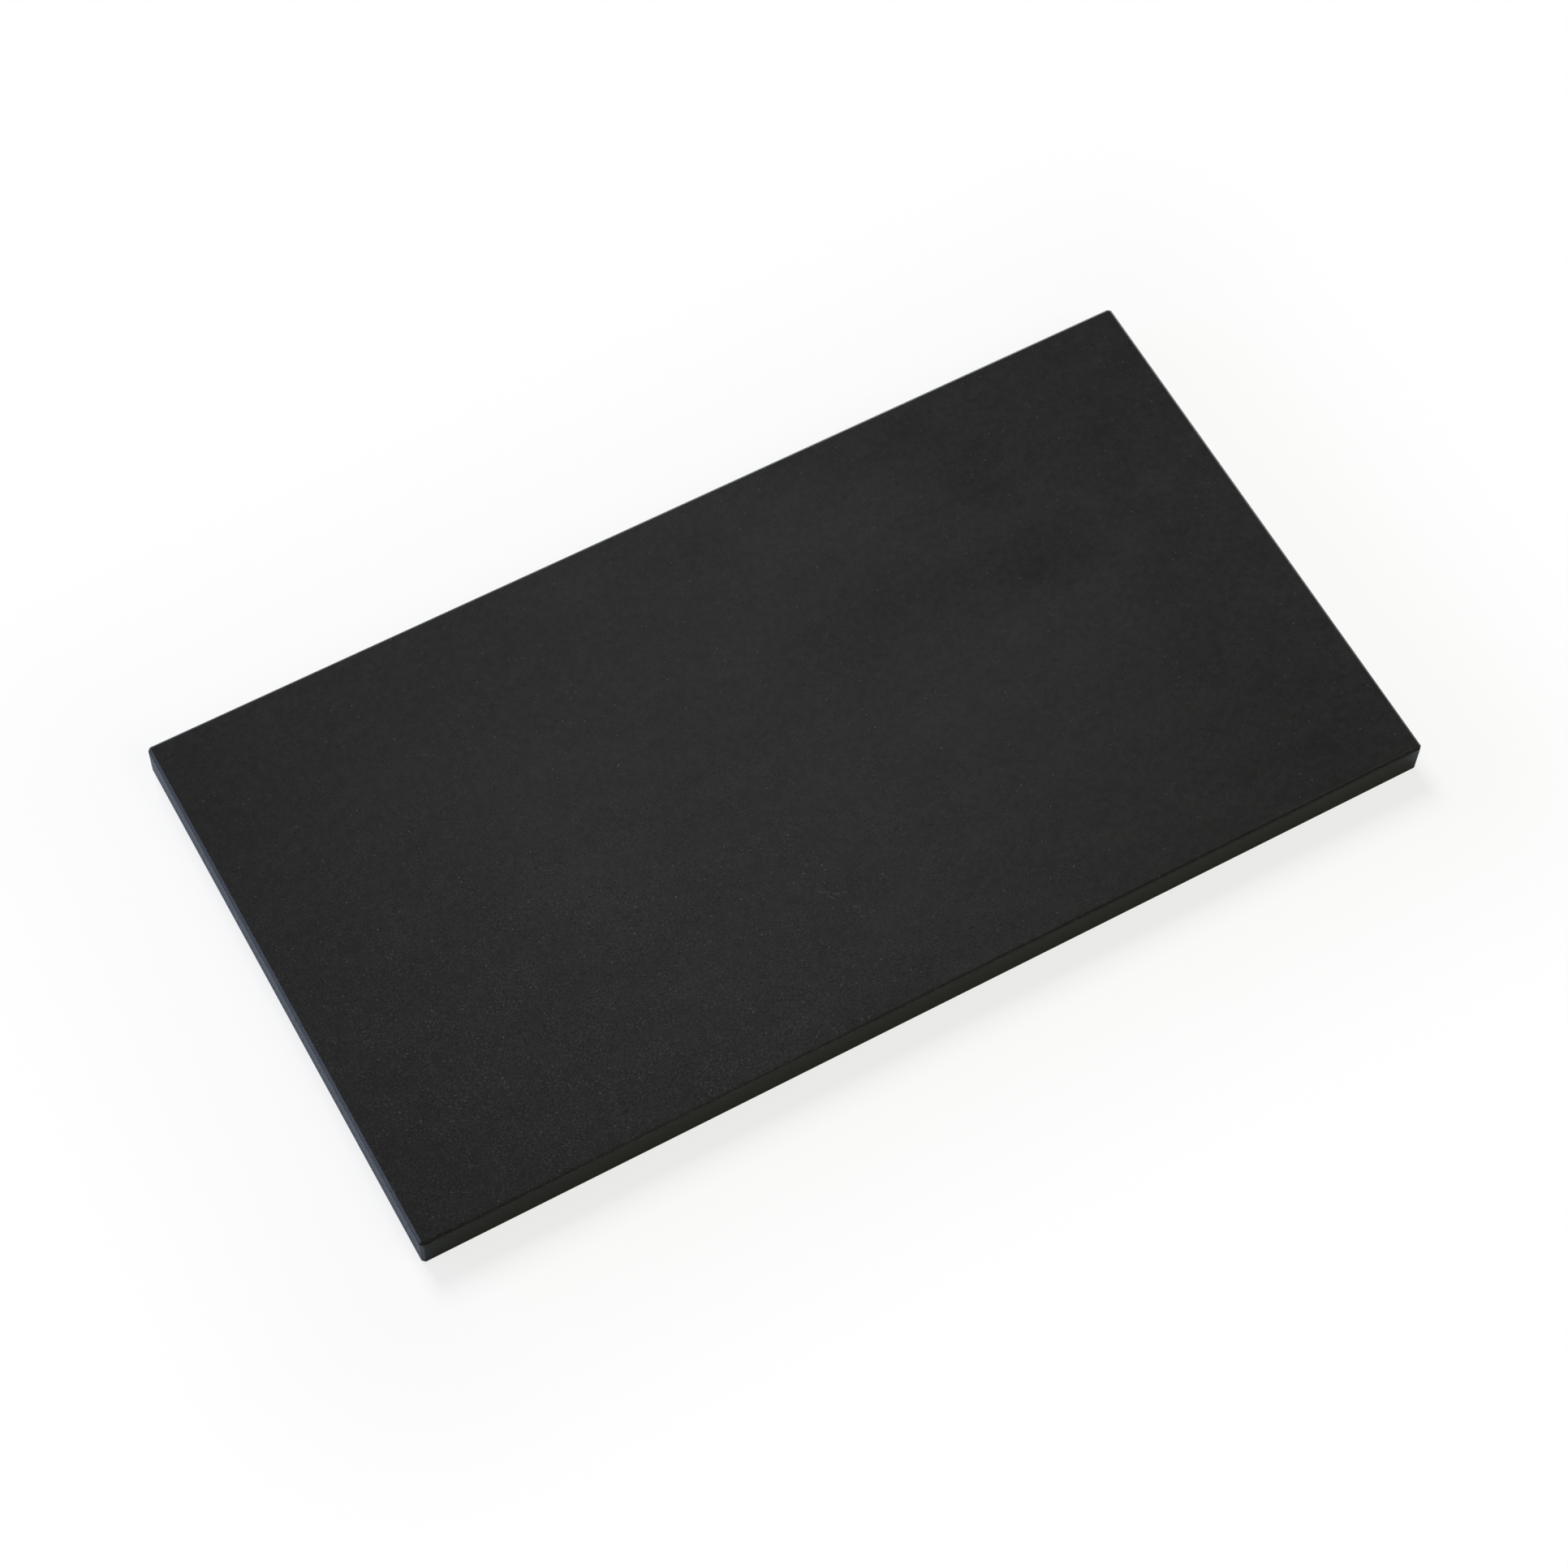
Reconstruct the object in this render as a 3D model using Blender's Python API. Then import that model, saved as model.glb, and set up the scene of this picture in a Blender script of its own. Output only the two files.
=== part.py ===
"""Rubber-faced cutting board with a wooden core.

Eight light wooden staves lie edge to edge and make a stiff, flat core. Four rubber edge bars
frame the core: the two long bars run the full length of the board, and the two short bars butt
between them. A rubber sheet covers the core and the frame above and below, so the wood is sealed
on all six sides and either face can be cut on. The rim of each sheet is planed to a flat bevel,
and the four upright corners are planed off by the same amount, so the bevel runs round them.

Units are metres. +X runs along the board, +Y across it and +Z up. The origin is the centre of
the face that the board lies on.
"""

import bmesh
import bpy

# Driving dimensions
BOARD_LENGTH = 0.500
BOARD_WIDTH = 0.270
BOARD_THICKNESS = 0.020
SHEET_THICKNESS = 0.003
EDGE_BAR_WIDTH = 0.010
EDGE_BEVEL = 0.0014
STAVE_COUNT = 8
STAVE_ARRIS = 0.0005
BOND_LINE = 0.0003

# Sizes that follow from the driving dimensions
CORE_LEVEL = BOARD_THICKNESS / 2
CORE_THICKNESS = BOARD_THICKNESS - 2 * (SHEET_THICKNESS + BOND_LINE)
CORE_LENGTH = BOARD_LENGTH - 2 * (EDGE_BAR_WIDTH + BOND_LINE)
CORE_WIDTH = BOARD_WIDTH - 2 * (EDGE_BAR_WIDTH + BOND_LINE)
STAVE_PITCH = (CORE_WIDTH + BOND_LINE) / STAVE_COUNT
STAVE_WIDTH = STAVE_PITCH - BOND_LINE

# Edges closer than this to a plane count as lying on it
ON_PLANE = 1e-6
HALF_TURN = 3.141592653589793

# Finishes: linear colour, roughness
SHEET_RUBBER = ("sheet_rubber", (0.020, 0.020, 0.020), 0.62)
EDGE_RUBBER = ("edge_rubber", (0.022, 0.022, 0.021), 0.48)
CORE_WOOD = ("core_wood", (0.620, 0.450, 0.270), 0.70)


def clear_scene():
    """Removes every object of the start-up scene."""
    for old in list(bpy.data.objects):
        bpy.data.objects.remove(old)


def make_finish(name, colour, roughness):
    """A non-metallic surface of one colour."""
    finish = bpy.data.materials.new(name)
    finish.use_nodes = True
    shader = finish.node_tree.nodes["Principled BSDF"]
    shader.inputs["Base Color"].default_value = (*colour, 1.0)
    shader.inputs["Roughness"].default_value = roughness
    shader.inputs["Metallic"].default_value = 0.0
    finish.diffuse_color = (*colour, 1.0)
    return finish


def make_group(name):
    """A collection for the pieces and an empty at the origin that carries them all."""
    group = bpy.data.collections.new(name)
    bpy.context.scene.collection.children.link(group)
    carrier = bpy.data.objects.new(name, None)
    group.objects.link(carrier)
    return group, carrier


def add_block(name, size, centre, finish, group, carrier):
    """A box of the given size, as an object of its own on the carrier."""
    bpy.ops.mesh.primitive_cube_add(size=1.0, location=centre)
    block = bpy.context.active_object
    block.name = name
    block.data.name = name
    block.scale = size
    bpy.ops.object.transform_apply(location=False, rotation=False, scale=True)
    for old_group in list(block.users_collection):
        old_group.objects.unlink(block)
    group.objects.link(block)
    block.parent = carrier
    block.data.materials.append(finish)
    return block


def cut_edges(block, chosen, offset):
    """Planes off the edges that chosen(first, second) accepts, given their two end points."""
    mesh = bmesh.new()
    mesh.from_mesh(block.data)
    edges = [edge for edge in mesh.edges if chosen(edge.verts[0].co, edge.verts[1].co)]
    bmesh.ops.bevel(mesh, geom=edges, offset=offset, segments=1, affect="EDGES")
    bmesh.ops.recalc_face_normals(mesh, faces=mesh.faces)
    mesh.to_mesh(block.data)
    mesh.free()


def cut_corners(block, outer_side=0):
    """Planes off the upright corners: all four, or only those on one side of the block in Y."""

    def upright(first, second):
        is_upright = abs(first.x - second.x) < ON_PLANE and abs(first.y - second.y) < ON_PLANE
        return is_upright and first.y * outer_side >= 0

    cut_edges(block, upright, EDGE_BEVEL)


def bevel_rim(block, side):
    """Planes a flat bevel round the rim of the upper (side 1) or lower (side -1) face."""
    level = side * max(vertex.co.z for vertex in block.data.vertices)

    def on_rim(first, second):
        return abs(first.z - level) < ON_PLANE and abs(second.z - level) < ON_PLANE

    cut_edges(block, on_rim, EDGE_BEVEL)


def add_sheet(name, side, finish, group, carrier):
    """One rubber cutting sheet, full size, with cut corners and a bevelled outer rim."""
    size = (BOARD_LENGTH, BOARD_WIDTH, SHEET_THICKNESS)
    level = CORE_LEVEL + side * (BOARD_THICKNESS - SHEET_THICKNESS) / 2
    sheet = add_block(name, size, (0, 0, level), finish, group, carrier)
    cut_corners(sheet)
    bevel_rim(sheet, side)


def add_long_bar(name, side, finish, group, carrier):
    """An edge bar along the full length, cut where it makes the board's upright corners."""
    size = (BOARD_LENGTH, EDGE_BAR_WIDTH, CORE_THICKNESS)
    across = side * (BOARD_WIDTH - EDGE_BAR_WIDTH) / 2
    bar = add_block(name, size, (0, across, CORE_LEVEL), finish, group, carrier)
    cut_corners(bar, outer_side=side)


def add_short_bar(name, side, finish, group, carrier):
    """An edge bar across the end of the board, cut square to butt between the long bars."""
    size = (EDGE_BAR_WIDTH, CORE_WIDTH, CORE_THICKNESS)
    along = side * (BOARD_LENGTH - EDGE_BAR_WIDTH) / 2
    add_block(name, size, (along, 0, CORE_LEVEL), finish, group, carrier)


def add_stave(index, finish, group, carrier):
    """One stave of the core. Every other stave is turned over, so that the growth rings
    pull against each other and the core stays flat."""
    size = (CORE_LENGTH, STAVE_WIDTH, CORE_THICKNESS)
    across = (index - (STAVE_COUNT - 1) / 2) * STAVE_PITCH
    name = f"core_stave_{index + 1}"
    stave = add_block(name, size, (0, across, CORE_LEVEL), finish, group, carrier)

    def long_edge(first, second):
        return abs(first.x - second.x) > CORE_LENGTH / 2

    cut_edges(stave, long_edge, STAVE_ARRIS)
    if index % 2:
        stave.rotation_euler.x = HALF_TURN


def main():
    clear_scene()
    sheet_rubber = make_finish(*SHEET_RUBBER)
    edge_rubber = make_finish(*EDGE_RUBBER)
    core_wood = make_finish(*CORE_WOOD)
    group, carrier = make_group("cutting_board")
    add_sheet("top_sheet", 1, sheet_rubber, group, carrier)
    add_sheet("bottom_sheet", -1, sheet_rubber, group, carrier)
    add_long_bar("front_edge_bar", -1, edge_rubber, group, carrier)
    add_long_bar("back_edge_bar", 1, edge_rubber, group, carrier)
    add_short_bar("left_edge_bar", -1, edge_rubber, group, carrier)
    add_short_bar("right_edge_bar", 1, edge_rubber, group, carrier)
    for index in range(STAVE_COUNT):
        add_stave(index, core_wood, group, carrier)


main()
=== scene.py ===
# %% [markdown]
# # A black rubber cutting board
#
# The board is a sandwich. A light wooden core is framed by four rubber bars, and a rubber sheet covers
# the core and the frame above and below. Seen from outside it is one plain black slab, so everything
# that makes it look real is small: a flat bevel that runs round each rim and down the corners, hairline
# seams on the sides, and the fine grain, pale flecks, soft clouds and few scratches of the rubber
# itself.
#
# This lesson loads the finished construction, sets up the camera, models the rubber pieces again with
# their fine edges, gives rubber and wood their finishes, and ends with the table and the light. All
# lengths are in metres.

# %% Load the frame
from math import cos, radians, sin

import bmesh
import bpy
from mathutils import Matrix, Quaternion, Vector


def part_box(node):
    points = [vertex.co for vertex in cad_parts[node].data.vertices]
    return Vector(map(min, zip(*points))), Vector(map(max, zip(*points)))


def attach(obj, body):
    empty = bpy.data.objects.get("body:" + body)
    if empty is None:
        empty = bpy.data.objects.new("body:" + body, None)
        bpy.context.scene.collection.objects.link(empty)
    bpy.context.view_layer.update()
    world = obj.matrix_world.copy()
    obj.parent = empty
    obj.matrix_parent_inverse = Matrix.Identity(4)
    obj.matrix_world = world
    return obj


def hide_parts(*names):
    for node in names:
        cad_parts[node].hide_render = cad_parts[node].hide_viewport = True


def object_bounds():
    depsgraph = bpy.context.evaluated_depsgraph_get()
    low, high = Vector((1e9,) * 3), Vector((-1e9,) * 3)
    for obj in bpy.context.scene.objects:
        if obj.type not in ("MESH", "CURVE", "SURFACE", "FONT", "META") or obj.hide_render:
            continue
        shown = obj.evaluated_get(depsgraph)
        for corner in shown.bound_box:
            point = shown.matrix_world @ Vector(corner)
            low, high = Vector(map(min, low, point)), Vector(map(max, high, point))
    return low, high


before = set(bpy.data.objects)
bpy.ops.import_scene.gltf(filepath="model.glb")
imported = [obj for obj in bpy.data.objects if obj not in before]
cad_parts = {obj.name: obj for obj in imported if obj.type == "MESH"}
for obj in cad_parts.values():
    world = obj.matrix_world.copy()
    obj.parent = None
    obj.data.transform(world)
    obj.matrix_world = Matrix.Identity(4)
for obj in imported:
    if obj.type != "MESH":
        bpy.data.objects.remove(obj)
CAD_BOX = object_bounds()
print("loaded", len(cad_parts), "pieces, box", CAD_BOX)

# %% [markdown]
# ## The camera
#
# The board's straight edges give the viewpoint: about 62 degrees above the table, 31 degrees round to
# the left from the front, with a long lens. The camera could be placed by its coordinates, but angles
# round the point that it aims at are easier to picture and to correct. It is then turned a little about
# its own axis, as a camera held by hand is.

# %% Camera
VIEW_AZIMUTH = radians(-31.317)
VIEW_ELEVATION = radians(61.663)
VIEW_ROLL = radians(2.551)
VIEW_DISTANCE = 1.8358
AIM_POINT = Vector((-0.0048, -0.0065, 0.0))
FOCAL_LENGTH_MM = 94.02
SENSOR_WIDTH_MM = 36.0


def direction(bearing, height):
    """The direction at a bearing, from the front round to the right, and a height above the table."""
    return Vector((cos(height) * sin(bearing), -cos(height) * cos(bearing), sin(height)))


def add_camera():
    """The camera, aimed from the viewpoint's angles and distance."""
    towards_camera = direction(VIEW_AZIMUTH, VIEW_ELEVATION)
    lens = bpy.data.cameras.new("view")
    lens.lens = FOCAL_LENGTH_MM
    lens.sensor_width = SENSOR_WIDTH_MM
    camera = bpy.data.objects.new("view", lens)
    bpy.context.scene.collection.objects.link(camera)
    camera.location = AIM_POINT + towards_camera * VIEW_DISTANCE
    aim = (-towards_camera).to_track_quat("-Z", "Y")
    camera.rotation_mode = "QUATERNION"
    camera.rotation_quaternion = aim @ Quaternion((0, 0, 1), VIEW_ROLL)
    return camera


bpy.context.scene.camera = add_camera()
print("camera at", [round(x, 3) for x in bpy.context.scene.camera.location])

# %% [markdown]
# ## Hand tools
#
# Every rubber piece starts as a block of the right size, and is then worked on as by hand: edges are
# picked by where they lie, and cut with the bevel tool. The solids could be dressed as they are, but they
# are loose triangles, and a fresh block takes the bevel tool more cleanly. The operators act on whatever
# is selected, so each tool first clears the selection. A finished piece keeps its place in its mesh, and
# its object stays at the origin, so that patterns on the surface can be placed by the board's own
# coordinates.

# %% Hand tools
ON_PLANE = 1e-6


def add_block(name, low, high):
    """A box between two corners, with its place in its mesh."""
    bpy.ops.object.select_all(action="DESELECT")
    low = Vector(low)
    high = Vector(high)
    bpy.ops.mesh.primitive_cube_add(size=1.0, location=(low + high) / 2, scale=high - low)
    bpy.ops.object.transform_apply(location=True, rotation=True, scale=True)
    block = bpy.context.active_object
    block.name = name
    block.data.name = name
    return block


def cut_edges(piece, chosen, width):
    """Planes off the edges whose two ends chosen(first, second) accepts."""
    bpy.ops.object.mode_set(mode="EDIT")
    bpy.ops.mesh.select_mode(type="EDGE")
    bpy.ops.mesh.select_all(action="DESELECT")
    mesh = bmesh.from_edit_mesh(piece.data)
    for edge in mesh.edges:
        if chosen(edge.verts[0].co, edge.verts[1].co):
            edge.select_set(True)
    bmesh.update_edit_mesh(piece.data)
    bpy.ops.mesh.bevel(offset=width, segments=1, affect="EDGES")
    bpy.ops.object.mode_set(mode="OBJECT")


def is_upright(first, second):
    """True for an edge that runs straight up."""
    return abs(first.x - second.x) < ON_PLANE and abs(first.y - second.y) < ON_PLANE


def lies_at(level):
    """A test for edges that lie flat at one height."""
    return lambda first, second: max(abs(first.z - level), abs(second.z - level)) < ON_PLANE


print("hand tools ready")

# %% [markdown]
# ## Softening the edges
#
# No cut edge on rubber is perfectly sharp. A Bevel modifier limited by angle finds every remaining sharp
# edge and rounds it by a fraction of a millimetre, which is what catches the light as a thin line.
# Weighted normals then keep the large faces perfectly flat in shading, and let only the small roundings
# bend.

# %% Softening
SHARP_ANGLE = radians(30)
SMOOTH_ANGLE = radians(35)
ARRIS_SEGMENTS = 3


def apply_modifier(piece, kind, **settings):
    """Adds one modifier, sets it and applies it."""
    bpy.context.view_layer.objects.active = piece
    modifier = piece.modifiers.new(kind.lower(), kind)
    for name, value in settings.items():
        setattr(modifier, name, value)
    bpy.ops.object.modifier_apply(modifier=modifier.name)


def soften(piece, radius):
    """Rounds the sharp edges that are left, and smooths the shading across the roundings."""
    apply_modifier(
        piece,
        "BEVEL",
        width=radius,
        segments=ARRIS_SEGMENTS,
        limit_method="ANGLE",
        angle_limit=SHARP_ANGLE,
        use_clamp_overlap=False,
    )
    bpy.ops.object.select_all(action="DESELECT")
    piece.select_set(True)
    bpy.ops.object.shade_smooth_by_angle(angle=SMOOTH_ANGLE)
    apply_modifier(piece, "WEIGHTED_NORMAL", keep_sharp=True)


print("softening ready")

# %% [markdown]
# ## The two cutting sheets
#
# Each sheet is a rubber plate of the board's full size. Its upright corners are planed off, and then its
# outer rim, so that one flat bevel runs all the way round. Where it is bonded to the bars, almost no gap
# is left: the solids keep a bond line of 0.3 mm, and here each neighbour takes nearly half of it, so
# that only a hairline seam shows.

# %% Cutting sheets
RIM_BEVEL = 0.0014
RIM_ARRIS = 0.00022
SEAM_SHARE = 0.47

BOND_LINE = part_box("top_sheet")[0].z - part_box("front_edge_bar")[1].z
GROWTH = BOND_LINE * SEAM_SHARE


def make_sheet(node, name, outer_side):
    """One cutting sheet in place of its solid; outer_side is 1 above and -1 below."""
    low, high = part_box(node)
    if outer_side > 0:
        low.z -= GROWTH
        outer_level = high.z
    else:
        high.z += GROWTH
        outer_level = low.z
    sheet = add_block(name, low, high)
    cut_edges(sheet, is_upright, RIM_BEVEL)
    cut_edges(sheet, lies_at(outer_level), RIM_BEVEL)
    soften(sheet, RIM_ARRIS)
    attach(sheet, "root")
    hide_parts(node)
    print(name, len(sheet.data.polygons), "faces")
    return sheet


SHEETS = [
    make_sheet("top_sheet", "top_cutting_sheet", 1),
    make_sheet("bottom_sheet", "bottom_cutting_sheet", -1),
]

# %% [markdown]
# ## The four edge bars
#
# The long bars run through to the corners, so they carry the planed uprights. The short bars are cut
# square and butt between them, which leaves one upright hairline seam a bar's width from each corner.

# %% Edge bars
BAR_ARRIS = 0.00008


def make_bar(node, name, corner_side=0, end_growth=0.0):
    """One edge bar in place of its solid; corner_side is the side in Y where it makes the corners."""
    low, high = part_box(node)
    low -= Vector((0, end_growth, GROWTH))
    high += Vector((0, end_growth, GROWTH))
    bar = add_block(name, low, high)
    if corner_side:
        outer_y = high.y if corner_side > 0 else low.y

        def outer_upright(first, second):
            return is_upright(first, second) and abs(first.y - outer_y) < ON_PLANE

        cut_edges(bar, outer_upright, RIM_BEVEL)
    soften(bar, BAR_ARRIS)
    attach(bar, "root")
    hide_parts(node)
    print(name, len(bar.data.polygons), "faces")
    return bar


BARS = [
    make_bar("front_edge_bar", "front_bar", corner_side=-1),
    make_bar("back_edge_bar", "back_bar", corner_side=1),
    make_bar("left_edge_bar", "left_bar", end_growth=GROWTH),
    make_bar("right_edge_bar", "right_bar", end_growth=GROWTH),
]

# %% [markdown]
# ## Writing shaders as sums
#
# A finish is a network of nodes, but it is easier to read as arithmetic. This small class wraps one
# socket. Adding or multiplying two of them adds the Math node for it, and every other kind of node comes
# from one method that takes the node's settings first and then what goes into its sockets.

# %% Shader arithmetic
# A Mix node has sockets for every kind of data; these are the places of the ones for colours
MIX_FACTOR = 0
MIX_FIRST = 6
MIX_SECOND = 7
MIX_RESULT = 2


class Wire:
    """One shader socket that can be used in a Python sum."""

    def __init__(self, tree, socket=None):
        self.tree = tree
        self.socket = socket

    def node(self, kind, settings=None, inputs=None, output=0):
        """Adds a node: its settings first, then the values or wires of its sockets."""
        made = self.tree.nodes.new(kind)
        for name, value in (settings or {}).items():
            setattr(made, name, value)
        for name, value in (inputs or {}).items():
            if isinstance(value, Wire):
                self.tree.links.new(value.socket, made.inputs[name])
            else:
                made.inputs[name].default_value = value
        return Wire(self.tree, made.outputs[output])

    def maths(self, operation, first, second):
        """Adds a Math node for two numbers or wires."""
        return self.node("ShaderNodeMath", {"operation": operation}, {0: first, 1: second})

    def __add__(self, other):
        return self.maths("ADD", self, other)

    def __radd__(self, other):
        return self.maths("ADD", other, self)

    def __sub__(self, other):
        return self.maths("SUBTRACT", self, other)

    def __rsub__(self, other):
        return self.maths("SUBTRACT", other, self)

    def __mul__(self, other):
        return self.maths("MULTIPLY", self, other)

    def __rmul__(self, other):
        return self.maths("MULTIPLY", other, self)

    def step(self, low, high, low_value=0.0, high_value=1.0):
        """A smooth step from one value to another as this wire goes from low to high."""
        inputs = {
            "Value": self,
            "From Min": low,
            "From Max": high,
            "To Min": low_value,
            "To Max": high_value,
        }
        return self.node("ShaderNodeMapRange", {"interpolation_type": "SMOOTHSTEP"}, inputs)

    def fade(self, low, high):
        """A smooth step from 1 down to 0 as this wire goes from low to high."""
        return self.step(low, high, 1.0, 0.0)

    def blend(self, first, second):
        """A colour from the first to the second as this wire goes from 0 to 1."""
        inputs = {MIX_FACTOR: self, MIX_FIRST: first, MIX_SECOND: second}
        return self.node("ShaderNodeMix", {"data_type": "RGBA"}, inputs, MIX_RESULT)


def new_finish(name):
    """An empty material, its shader node and a wire to build from."""
    finish = bpy.data.materials.new(name)
    finish.use_nodes = True
    shader = finish.node_tree.nodes["Principled BSDF"]
    return finish, shader, Wire(finish.node_tree)


def plug(shader, name, wire):
    """Feeds one input of a shader."""
    wire.tree.links.new(wire.socket, shader.inputs[name])


def plug_relief(shader, height, strength, distance):
    """Feeds a height in as fine relief; the distance is what a height of 1 stands for."""
    bump = {"Strength": strength, "Distance": distance, "Height": height}
    plug(shader, "Normal", height.node("ShaderNodeBump", {}, bump))


def wear(finish, pieces):
    """Gives a finish to pieces, in place of what they had."""
    for piece in pieces:
        piece.data.materials.clear()
        piece.data.materials.append(finish)


print("shader arithmetic ready")

# %% [markdown]
# ## Patterns that rubber needs
#
# Noise gives grain, flecks and clouds, and cells give small round dots. Both read the board's own
# coordinates in metres, so that a scale of 1000 means features about a millimetre apart, and so that a
# pattern runs on from one piece to the next.

# %% Patterns
NOISE_MIDDLE = 0.5
CRISP = 0.6
DOT_CORE = 0.2


def board_place(wire):
    """The board's own coordinates, in metres."""
    return wire.node("ShaderNodeTexCoord", output="Object")


def turned(place, angle, stretch):
    """The same coordinates turned about the upright axis, with features longer by stretch."""
    inputs = {"Vector": place, "Rotation": (0.0, 0.0, angle), "Scale": (1.0 / stretch, 1.0, 1.0)}
    return place.node("ShaderNodeMapping", {}, inputs)


def squeezed(place, scale):
    """The same coordinates, scaled by a factor for each axis."""
    return place.node("ShaderNodeMapping", {}, {"Vector": place, "Scale": scale})


def length(place):
    """How far a point is from the origin of its coordinates."""
    return place.node("ShaderNodeVectorMath", {"operation": "LENGTH"}, {0: place}, output="Value")


def noise(place, scale, detail=2.0, roughness=0.5):
    """Soft noise round 0, with features about 1 / scale across; a roughness of CRISP is sharper."""
    inputs = {"Vector": place, "Scale": scale, "Detail": detail, "Roughness": roughness}
    return place.node("ShaderNodeTexNoise", {}, inputs) - NOISE_MIDDLE


def dots(place, scale, radius, share):
    """Round dots in a share of the cells, up to 1 at their middle; the radius is in cells."""
    inputs = {"Vector": place, "Scale": scale, "Randomness": 1.0}
    distance = place.node("ShaderNodeTexVoronoi", {}, inputs, output="Distance")
    cell = place.node("ShaderNodeTexVoronoi", {}, inputs, output="Color")
    draw = cell.node("ShaderNodeSeparateColor", {}, {0: cell})
    chosen = draw.step(1.0 - share, 1.0)
    return distance.fade(DOT_CORE * radius, radius) * chosen


print("patterns ready")

# %% [markdown]
# ## Marks of use and painted light
#
# A board that has been used is not the same all over. Its middle is painted a little paler, a painted
# sheen that fades towards the ends. Some soft patches with wandering outlines are darker or paler than
# the rest; one long patch over the left end is painted shade, and one in the middle adds to the painted
# sheen.
# Here and there is a hair-fine scratch or a grain of dust. One end is worked on more than the other, and
# near one corner the rim carries a painted highlight. All this could be painted on an image, but each
# mark
# is only a stretched spot: the coordinates are moved, turned and squeezed so that the mark becomes a unit
# ball round the origin, and the distance from the origin then gives it a soft edge.

# %% Marks
# The board is centred on the origin and lies on the table, so its box's upper corner gives these
HALF_LENGTH, HALF_WIDTH, FACE_LEVEL = CAD_BOX[1]

MARK_DEPTH = 0.004
FINE_MARK_CORE = 0.3
DRIFT_SCALE = 40.0
DRIFT_REACH = (0.060, 0.020, 0.0)
RIM_BLEND = 0.1 * RIM_BEVEL

# The painted sheen in the middle is an oval; how far out on it the short ends and the long sides lie, and
# where it fades
MIDDLE_AT_ENDS = 1.0
MIDDLE_AT_SIDES = 0.65
MIDDLE_FADE = (0.20, 1.40)

# Middle of each mark, its angle in degrees, its half length and its half width
SCRATCHES = [
    (-0.0225, -0.0700, -43, 0.0020, 0.00022),
    (-0.0200, -0.0715, -31, 0.0021, 0.00020),
    (-0.0170, -0.0740, -48, 0.0023, 0.00022),
    (-0.0195, -0.0745, -56, 0.0029, 0.00022),
    (-0.0130, -0.0755, -38, 0.0009, 0.00020),
    (-0.0050, -0.0780, -78, 0.0015, 0.00012),
    (-0.0065, -0.0820, -120, 0.0031, 0.00010),
    (-0.0110, -0.0850, -121, 0.0040, 0.00010),
    (0.0055, -0.0750, 7, 0.0019, 0.00012),
]
DUST = [
    (-0.0705, 0.0275, 20, 0.00060, 0.00045),
    (-0.0550, -0.0760, 0, 0.00055, 0.00045),
    (-0.0515, -0.0770, 50, 0.00050, 0.00040),
    (-0.0155, -0.0590, 90, 0.00055, 0.00045),
]

# The same for each soft patch, and then how much paler it is than the rest
PATCHES_AND_PAINTED_LIGHT = [
    (0.1465, 0.0810, 0, 0.028, 0.026, -0.050),
    (0.1450, 0.0330, -3, 0.060, 0.026, -0.075),
    (0.0750, 0.0440, 5, 0.075, 0.030, -0.050),
    (0.1215, 0.1175, 0, 0.035, 0.006, -0.040),
    (-0.1100, 0.0900, 0, 0.130, 0.060, -0.022),
    # This long patch over the left end is painted shade: it darkens that end.
    (-0.2350, 0.0300, 90, 0.260, 0.115, -0.045),
    (-0.2350, -0.1100, 90, 0.070, 0.060, -0.010),
    (-0.1135, -0.0165, 0, 0.050, 0.024, 0.035),
    (-0.1035, -0.0840, 0, 0.045, 0.022, 0.030),
    (0.0715, 0.0960, 0, 0.060, 0.030, 0.035),
    (0.1000, -0.0100, 5, 0.090, 0.032, 0.025),
    (0.1890, 0.0310, -72, 0.050, 0.009, 0.035),
    (0.2230, 0.0420, 0, 0.016, 0.012, 0.060),
    (0.2450, 0.0000, 90, 0.200, 0.050, 0.038),
    # This patch in the middle adds to the painted sheen there.
    (0.0020, -0.0020, 0, 0.060, 0.022, 0.030),
    (-0.0300, -0.1050, 0, 0.160, 0.030, 0.016),
]

# The end that is worked on most, and the corner whose rim gets a painted highlight and a smoother skin,
# as two large marks
WORKED_END = (-0.1600, -0.1080, -23, 0.360, 0.228)
HIGHLIT_CORNER = (0.2500, 0.1350, 0, 0.420, 0.360)


def mark(place, along, across, degrees, half_length, half_width, core=0.0):
    """A stretched spot on the upper face: 1 in its core, 0 from its edge on."""
    inputs = {
        "Vector": place,
        "Location": (along, across, FACE_LEVEL),
        "Rotation": (0.0, 0.0, radians(degrees)),
        "Scale": (half_length, half_width, MARK_DEPTH),
    }
    unit = place.node("ShaderNodeMapping", {"vector_type": "TEXTURE"}, inputs)
    return length(unit).fade(core, 1.0)


def fine_marks(place, spots):
    """All the fine marks of one kind, each with a clear core."""
    return sum(mark(place, *spot, FINE_MARK_CORE) for spot in spots)


def patches_and_painted_light(place):
    """All the soft patches, with outlines that wander, most along the board; one is painted shade over
    the left end, and one adds painted sheen in the middle.
    """
    drift = place.node("ShaderNodeTexNoise", {}, {"Vector": place, "Scale": DRIFT_SCALE}, output="Color")
    middle = (NOISE_MIDDLE, NOISE_MIDDLE, NOISE_MIDDLE)
    centred = place.node("ShaderNodeVectorMath", {"operation": "SUBTRACT"}, {0: drift, 1: middle})
    inputs = {0: centred, 1: DRIFT_REACH, 2: place}
    wandering = place.node("ShaderNodeVectorMath", {"operation": "MULTIPLY_ADD"}, inputs)
    return sum(mark(wandering, *spot) * gain for *spot, gain in PATCHES_AND_PAINTED_LIGHT)


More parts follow.
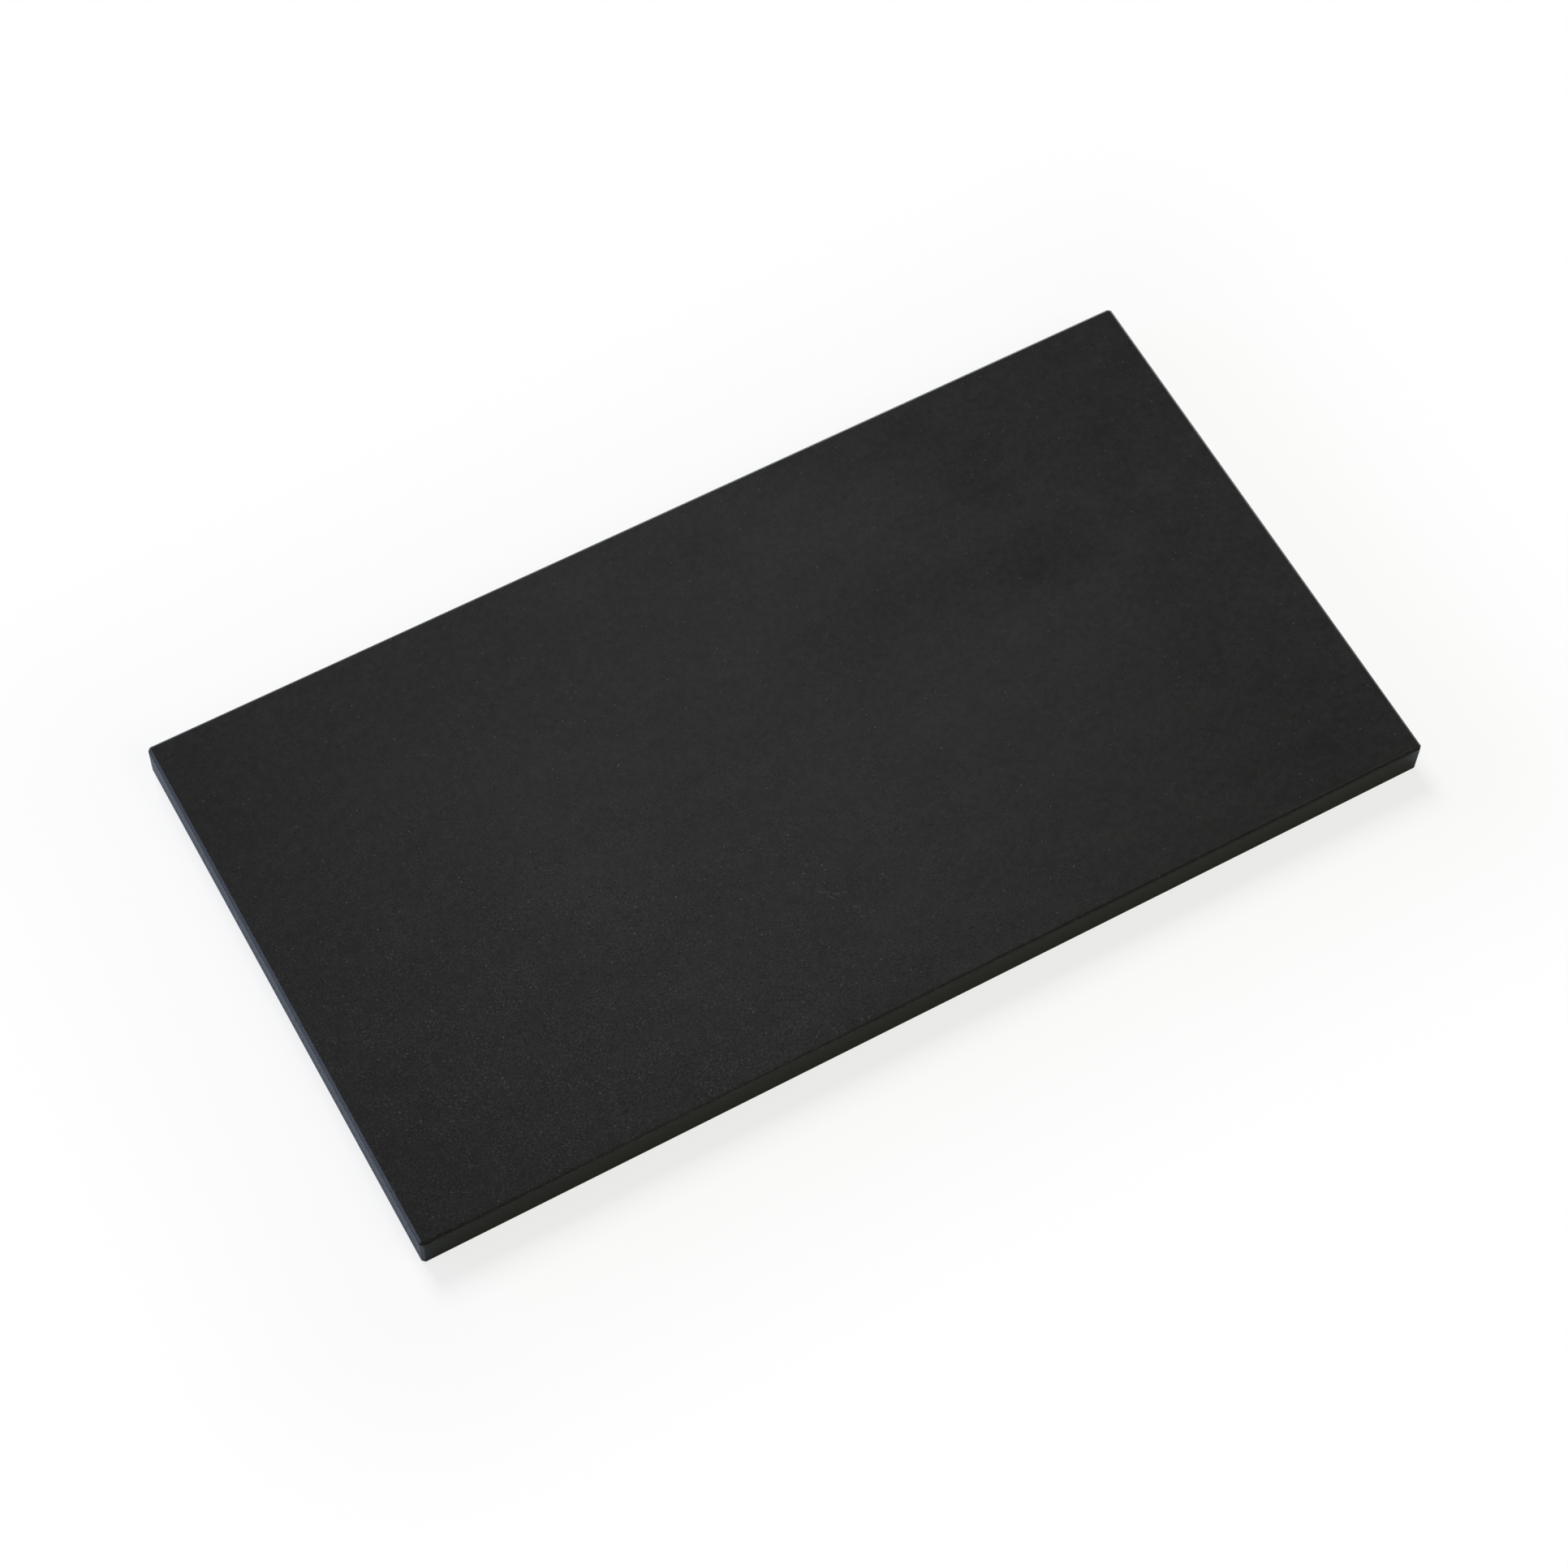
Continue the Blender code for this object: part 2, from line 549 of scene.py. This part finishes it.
def painted_middle_sheen(place):
    """1 in the middle of a face, for a painted sheen, fading to 0 beyond the rim."""
    oval = squeezed(place, (MIDDLE_AT_ENDS / HALF_LENGTH, MIDDLE_AT_SIDES / HALF_WIDTH, 0.0))
    return length(oval).fade(*MIDDLE_FADE)


def planed_rim(place):
    """1 on the bevel and the upright edge of a sheet, 0 on its flat face."""
    folded = place.node("ShaderNodeVectorMath", {"operation": "ABSOLUTE"}, {0: place})
    along = folded.node("ShaderNodeSeparateXYZ", {}, {0: folded}, output="X")
    across = folded.node("ShaderNodeSeparateXYZ", {}, {0: folded}, output="Y")
    inset = place.maths("MINIMUM", HALF_LENGTH - along, HALF_WIDTH - across)
    return inset.fade(RIM_BEVEL - RIM_BLEND, RIM_BEVEL + RIM_BLEND)


print(len(SCRATCHES), "scratches,", len(DUST), "grains of dust,", len(PATCHES_AND_PAINTED_LIGHT), "patches")

# %% [markdown]
# ## The speckle of sanded rubber
#
# The cutting faces are sanded. That leaves a fine grain, pale flecks where filler in the rubber comes to
# the surface, and small dark pits, and here and there a larger bit of filler shows as a round spark. An
# image of rubber could be laid on, but its repeats would show on so plain a face, so the speckle is
# worked out from noise. Flecks and pits are noise cut off at a level, and the flecks are stretched three
# ways, so that they lie in all directions. Grain, flecks and pits come in loose clusters, and all the
# speckle stands out most at the end that is worked on most.

# %% Speckle
GRAIN_SCALE = 1300.0
FLECK_SCALE = 1200.0
FLECK_LEVELS = (0.09, 0.25)
FLECK_TURNS = (radians(20), radians(95), radians(150))
FLECK_STRETCH = 1.4
PIT_SCALE = 1050.0
PIT_LEVELS = (-0.24, -0.08)
SPARK_SCALE = 330.0
SPARK_RADIUS = 0.17
SPARK_SHARE = 0.35
CLUSTER_SCALE = 120.0
CLUSTER_LEVELS = (-0.14, 0.14)
CLUSTER_STRENGTHS = (0.62, 1.28)
STRENGTH_ALL_OVER = 0.36
STRENGTH_FROM_WORK = 1.20


def pale_flecks(place):
    """Short pale flecks in three directions."""
    layers = [turned(place, turn, FLECK_STRETCH) for turn in FLECK_TURNS]
    return sum(noise(layer, FLECK_SCALE, detail=1.0).step(*FLECK_LEVELS) for layer in layers)


def dark_pits(place):
    """Small dark pits."""
    return noise(place, PIT_SCALE, detail=1.0).fade(*PIT_LEVELS)


def loose_clusters(place):
    """How strong the speckle is within and between its clusters."""
    return noise(place, CLUSTER_SCALE).step(*CLUSTER_LEVELS, *CLUSTER_STRENGTHS)


def working_strength(place):
    """How strong the speckle is over the face: most at the end that is worked on most."""
    return STRENGTH_ALL_OVER + mark(place, *WORKED_END) * STRENGTH_FROM_WORK


print("flecks in", len(FLECK_TURNS), "directions, pits, clusters and strength ready")

# %% [markdown]
# ## Sheet rubber
#
# Under the speckle, slow clouds and a mottling of a few millimetres run through the colour, and smears,
# which wiping has drawn out along the board, through colour and gloss. Each pattern is made once and
# shared by colour, gloss and relief, so that they agree. The rim is planed, not sanded, so it has a
# smooth skin. It could be a finish of its own, but the coat layer of the shader gives it without a
# border between two finishes: it mirrors the table and the sky, while the face stays matt. Towards the
# far right corner the rim is painted paler, a painted highlight, and its skin is smoother.

# %% Sheet rubber
SHEET_DARK = (0.0060, 0.0060, 0.0060, 1.0)
SHEET_PALE = (0.0720, 0.0720, 0.0715, 1.0)
SHEET_GLOSS = 0.18
CLOUD_SCALE = 10.0
SMEAR_SCALE = 70.0
SMEAR_SQUEEZE = (0.4, 1.0, 1.0)
MOTTLING_SCALE = 320.0

# How pale the face is between its dark and its pale colour, and what each thing adds to that
FACE_TONE = 0.060
MIDDLE_SHEEN_TONE = 0.140
CLOUD_TONE = 0.08
SMEAR_TONE = 0.18
MOTTLING_TONE = 0.22
GRAIN_TONE = 0.40
FLECK_TONE = 0.20
PIT_TONE = -0.22
SPARK_TONE = 0.60
SPARK_WORK_TONE = 0.50
SCRATCH_TONE = 0.70
DUST_TONE = 1.5

# The same for the planed rim, and how much smooth skin it has, all round and more near the far right
# corner, where the rim is also painted paler as a painted highlight
RIM_TONE = -0.26
RIM_WORK_TONE = 0.28
RIM_MOTTLING_TONE = 0.30
CORNER_HIGHLIGHT_TONE = 1.20
RIM_SKIN = 0.45
CORNER_SKIN = 0.55
SKIN_ROUGHNESS = 0.30

# How rough the face is, and what smears and grain add to that
FACE_ROUGHNESS = 0.74
SMEAR_ROUGHNESS = 0.10
GRAIN_ROUGHNESS = 0.08

# How far each thing stands out of the face, and the strength and distance of that relief
GRAIN_HEIGHT = 0.7
FLECK_HEIGHT = 0.4
PIT_HEIGHT = -0.6
MOTTLING_HEIGHT = 0.4
SCRATCH_HEIGHT = -0.6
SHEET_RELIEF = (0.30, 0.00006)


def sheet_rubber():
    """Matt black sanded rubber with a planed rim."""
    finish, shader, wire = new_finish("sheet_rubber_finish")
    shader.inputs["Specular IOR Level"].default_value = SHEET_GLOSS
    shader.inputs["Coat Roughness"].default_value = SKIN_ROUGHNESS
    place = board_place(wire)
    clouds = noise(place, CLOUD_SCALE, detail=3.0)
    smears = noise(squeezed(place, SMEAR_SQUEEZE), SMEAR_SCALE, detail=4.0, roughness=CRISP)
    mottling = noise(place, MOTTLING_SCALE, roughness=CRISP)
    grain = noise(place, GRAIN_SCALE, roughness=CRISP)
    flecks = pale_flecks(place)
    pits = dark_pits(place)
    sparks = dots(place, SPARK_SCALE, SPARK_RADIUS, SPARK_SHARE)
    scratches = fine_marks(place, SCRATCHES)
    dust = fine_marks(place, DUST)
    strength = working_strength(place)
    rim = planed_rim(place)
    highlit_corner = mark(place, *HIGHLIT_CORNER)

    # Painted light: the middle's paleness is a painted sheen, the long patch over the left end is painted
    # shade, and the patch in the middle adds to the painted sheen.
    tone = FACE_TONE + painted_middle_sheen(place) * MIDDLE_SHEEN_TONE + patches_and_painted_light(place)
    cloudiness = clouds * CLOUD_TONE + smears * SMEAR_TONE + mottling * MOTTLING_TONE
    sanding = grain * GRAIN_TONE + flecks * FLECK_TONE + pits * PIT_TONE
    speckle = strength * loose_clusters(place) * sanding
    sparkle = sparks * (SPARK_TONE + strength * SPARK_WORK_TONE)
    # Near the far right corner the rim is painted paler: a painted highlight.
    rim_tone = RIM_TONE + strength * RIM_WORK_TONE + mottling * RIM_MOTTLING_TONE + highlit_corner * CORNER_HIGHLIGHT_TONE
    specks = scratches * SCRATCH_TONE + dust * DUST_TONE
    paleness = tone + cloudiness + speckle + sparkle + rim * rim_tone + specks
    plug(shader, "Base Color", paleness.blend(SHEET_DARK, SHEET_PALE))

    plug(shader, "Roughness", FACE_ROUGHNESS + smears * SMEAR_ROUGHNESS + grain * GRAIN_ROUGHNESS)
    plug(shader, "Coat Weight", rim * (RIM_SKIN + highlit_corner * CORNER_SKIN))

    sanded = grain * GRAIN_HEIGHT + flecks * FLECK_HEIGHT + pits * PIT_HEIGHT
    relief = sanded + mottling * MOTTLING_HEIGHT + scratches * SCRATCH_HEIGHT
    plug_relief(shader, relief, *SHEET_RELIEF)
    return finish


wear(sheet_rubber(), SHEETS)
print("sheet rubber on", [sheet.name for sheet in SHEETS])

# %% [markdown]
# ## Edge rubber
#
# The sides are planed, not sanded, so they are smoother than the face, with faint streaks along the cut.
# A wave texture would make the streaks too even, so they are noise that is squeezed in height, which
# makes it long in the direction of the plane's stroke.

# %% Edge rubber
EDGE_DARK = (0.0086, 0.0085, 0.0062, 1.0)
EDGE_PALE = (0.0600, 0.0595, 0.0480, 1.0)
EDGE_GLOSS = 0.345
STREAK_SCALE = 60.0
STREAK_SQUEEZE = (1.0, 1.0, 14.0)
EDGE_GRAIN_SCALE = 1500.0

# As for the sheets: tone, roughness and relief of the side, and what streaks and grain add to them
EDGE_TONE = 0.08
STREAK_TONE = 0.10
EDGE_GRAIN_TONE = 0.12
EDGE_ROUGHNESS = 0.46
STREAK_ROUGHNESS = 0.10
EDGE_GRAIN_ROUGHNESS = 0.04
EDGE_GRAIN_HEIGHT = 0.4
EDGE_RELIEF = (0.20, 0.00005)


def edge_rubber():
    """Satin black planed rubber."""
    finish, shader, wire = new_finish("edge_rubber_finish")
    shader.inputs["Specular IOR Level"].default_value = EDGE_GLOSS
    place = board_place(wire)
    streaks = noise(squeezed(place, STREAK_SQUEEZE), STREAK_SCALE, detail=3.0)
    grain = noise(place, EDGE_GRAIN_SCALE, roughness=CRISP)
    paleness = EDGE_TONE + streaks * STREAK_TONE + grain * EDGE_GRAIN_TONE
    plug(shader, "Base Color", paleness.blend(EDGE_DARK, EDGE_PALE))
    plug(shader, "Roughness", EDGE_ROUGHNESS + streaks * STREAK_ROUGHNESS + grain * EDGE_GRAIN_ROUGHNESS)
    plug_relief(shader, grain * EDGE_GRAIN_HEIGHT + streaks, *EDGE_RELIEF)
    return finish


wear(edge_rubber(), BARS)
print("edge rubber on", [bar.name for bar in BARS])

# %% [markdown]
# ## Core wood
#
# The staves are sealed inside and never show, but someone may lift a sheet off. They keep their solids
# and get a light planed softwood: growth rings that run along the stave, fine fibres, and a tone that
# shifts a little from place to place. A wave texture would give rings too, but too even ones, so noise
# that is stretched along the board does it. Each stave was sawn from another place in the log, so the
# coordinates jump from one stave to the next, and the grain stops at every joint.

# %% Core wood
WOOD_EARLY = (0.640, 0.470, 0.290, 1.0)
WOOD_LATE = (0.420, 0.255, 0.125, 1.0)
WOOD_SQUEEZE = (0.06, 1.0, 1.0)
RING_SCALE = 260.0
RING_LEVELS = (-0.08, 0.18)
FIBRE_SCALE = 2400.0
SHIFT_SCALE = 12.0

# How dark the wood is between its early and its late colour, its roughness and its relief, as above
WOOD_TONE = 0.18
RING_TONE = 0.6
FIBRE_TONE = 0.45
SHIFT_TONE = 1.3
WOOD_ROUGHNESS = 0.66
FIBRE_ROUGHNESS = 0.15
RING_HEIGHT = 0.5
WOOD_RELIEF = (0.30, 0.0001)

# A stave's jump in the log, as a multiple of its place across the board
STAVE_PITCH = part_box("core_stave_2")[0].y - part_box("core_stave_1")[0].y
JUMP_ALONG = 40.0
JUMP_UP = 8.0


def in_the_log(place):
    """The same coordinates, with a jump from each stave to the next."""
    across = place.node("ShaderNodeSeparateXYZ", {}, {0: place}, output="Y")
    stave = place.maths("SNAP", across, STAVE_PITCH)
    jump = place.node("ShaderNodeCombineXYZ", {}, {"X": stave * JUMP_ALONG, "Z": stave * JUMP_UP})
    return place.node("ShaderNodeVectorMath", {"operation": "ADD"}, {0: place, 1: jump})


def core_wood():
    """Light planed softwood with its grain along the board."""
    finish, shader, wire = new_finish("core_wood_finish")
    along = squeezed(in_the_log(board_place(wire)), WOOD_SQUEEZE)
    rings = noise(along, RING_SCALE)
    fibres = noise(along, FIBRE_SCALE, detail=3.0, roughness=CRISP)
    shift = noise(along, SHIFT_SCALE)
    late_rings = rings.step(*RING_LEVELS)
    lateness = WOOD_TONE + late_rings * RING_TONE + fibres * FIBRE_TONE + shift * SHIFT_TONE
    plug(shader, "Base Color", lateness.blend(WOOD_EARLY, WOOD_LATE))
    plug(shader, "Roughness", WOOD_ROUGHNESS + fibres * FIBRE_ROUGHNESS)
    plug_relief(shader, fibres + rings * RING_HEIGHT, *WOOD_RELIEF)
    return finish


STAVES = [node for name, node in sorted(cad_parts.items()) if name.startswith("core_stave")]
wear(core_wood(), STAVES)
print("core wood on", len(STAVES), "staves")

# %% [markdown]
# ## The table
#
# The board lies on a plain table of a cool white, which shows in the left side that mirrors it. To the
# camera it is a neutral white. Close to the board the table is an ordinary surface, so it takes the
# board's shadow. A hand's width further out, what the camera and mirrored rays see turns into an even
# white, so that from any side the table runs out into a clean background. For the camera the shadow is
# also lifted, as on an overexposed backdrop. All other rays see the ordinary surface, so the table gives
# the board no more light than a white table would. A curved backdrop, as in a studio, could give a clean
# background too, but only for views from the front.

# %% Table
TABLE_SIZE = 14.0
TABLE_WHITE = (0.93, 0.93, 0.93, 1.0)
TABLE_COOL = (0.78, 0.87, 1.0, 1.0)
TABLE_ROUGHNESS = 0.9
TABLE_GLOSS = 0.1
PURE_WHITE = (1.0, 1.0, 1.0, 1.0)
WHITE_START = 0.015
WHITE_FULL = 0.140
SHADOW_LIFT = 0.78


def distance_from_board(place):
    """How far a point of the table is from the board's outline."""
    half_size = (HALF_LENGTH, HALF_WIDTH, 0.0)
    folded = place.node("ShaderNodeVectorMath", {"operation": "ABSOLUTE"}, {0: place})
    beyond = place.node("ShaderNodeVectorMath", {"operation": "SUBTRACT"}, {0: folded, 1: half_size})
    outside = place.node("ShaderNodeVectorMath", {"operation": "MAXIMUM"}, {0: beyond, 1: (0, 0, 0)})
    return length(outside)


def ray_is(wire, *kinds):
    """1 for rays of the given kinds, and 0 for all others."""
    return sum(wire.node("ShaderNodeLightPath", output=kind) for kind in kinds)


def table_white():
    """A cool white that is neutral to the camera, and an even white background away from the board."""
    finish, shader, wire = new_finish("table_finish")
    plug(shader, "Base Color", ray_is(wire, "Is Camera Ray").blend(TABLE_COOL, TABLE_WHITE))
    shader.inputs["Roughness"].default_value = TABLE_ROUGHNESS
    shader.inputs["Specular IOR Level"].default_value = TABLE_GLOSS
    distance = distance_from_board(board_place(wire))
    seen = ray_is(wire, "Is Camera Ray") * distance.step(0.0, WHITE_FULL, SHADOW_LIFT, 1.0)
    reflected = ray_is(wire, "Is Glossy Ray", "Is Transmission Ray")
    mirrored = reflected * distance.step(WHITE_START, WHITE_FULL)
    background = wire.node("ShaderNodeEmission", {}, {"Color": PURE_WHITE, "Strength": 1.0})
    surface = Wire(wire.tree, shader.outputs[0])
    mixed = wire.node("ShaderNodeMixShader", {}, {0: seen + mirrored, 1: surface, 2: background})
    plug(finish.node_tree.nodes["Material Output"], "Surface", mixed)
    return finish


def add_table():
    """A wide white table under the board."""
    bpy.ops.object.select_all(action="DESELECT")
    bpy.ops.mesh.primitive_plane_add(size=TABLE_SIZE)
    table = bpy.context.active_object
    table.name = "table"
    wear(table_white(), [table])
    return table


print("stage:", add_table().name)

# %% [markdown]
# ## The light
#
# Soft daylight comes from behind and, bluer, from low on the left, as from large windows, and the room
# in front gives only a dim, warm light. So the near side lies in shade, the left side mirrors the bright
# table, and the far rims catch a thin line. Large area lamps far away give this more softly than spots
# or suns would.

# %% Light
LAMP_DISTANCE = 5.0
ROOM_COLOUR = (0.045, 0.055, 0.075, 1.0)


def add_lamp(name, bearing, height, size, watts, colour):
    """A soft rectangular lamp that faces the board; the bearing goes from the front to the right."""
    lamp = bpy.data.lights.new(name, "AREA")
    lamp.shape = "RECTANGLE"
    lamp.size, lamp.size_y = size
    lamp.energy = watts
    lamp.color = colour
    holder = bpy.data.objects.new(name, lamp)
    bpy.context.scene.collection.objects.link(holder)
    outward = direction(radians(bearing), radians(height))
    holder.location = outward * LAMP_DISTANCE
    holder.rotation_euler = outward.to_track_quat("Z", "Y").to_euler()
    print("lamp", name, watts, "W")


def add_room():
    """A dim room round the table; a camera that looks past the table sees white."""
    room = bpy.data.worlds.new("room")
    room.use_nodes = True
    wire = Wire(room.node_tree)
    seen = ray_is(wire, "Is Camera Ray", "Is Transmission Ray")
    plug(room.node_tree.nodes["Background"], "Color", seen.blend(ROOM_COLOUR, PURE_WHITE))
    return room


add_lamp("back_window", bearing=184, height=48, size=(2.1, 2.1), watts=220, colour=(0.995, 0.985, 0.98))
add_lamp("left_sky", bearing=238, height=14, size=(4.2, 1.4), watts=114, colour=(0.50, 0.62, 1.0))
add_lamp("front_room", bearing=28, height=47, size=(2.5, 2.3), watts=57, colour=(1.0, 0.90, 0.48))
bpy.context.scene.world = add_room()
bpy.context.scene.view_settings.view_transform = "Standard"

# %% [markdown]
# ## Sizes and finish
#
# The looks must not change the object's size.


print("end of the scene")
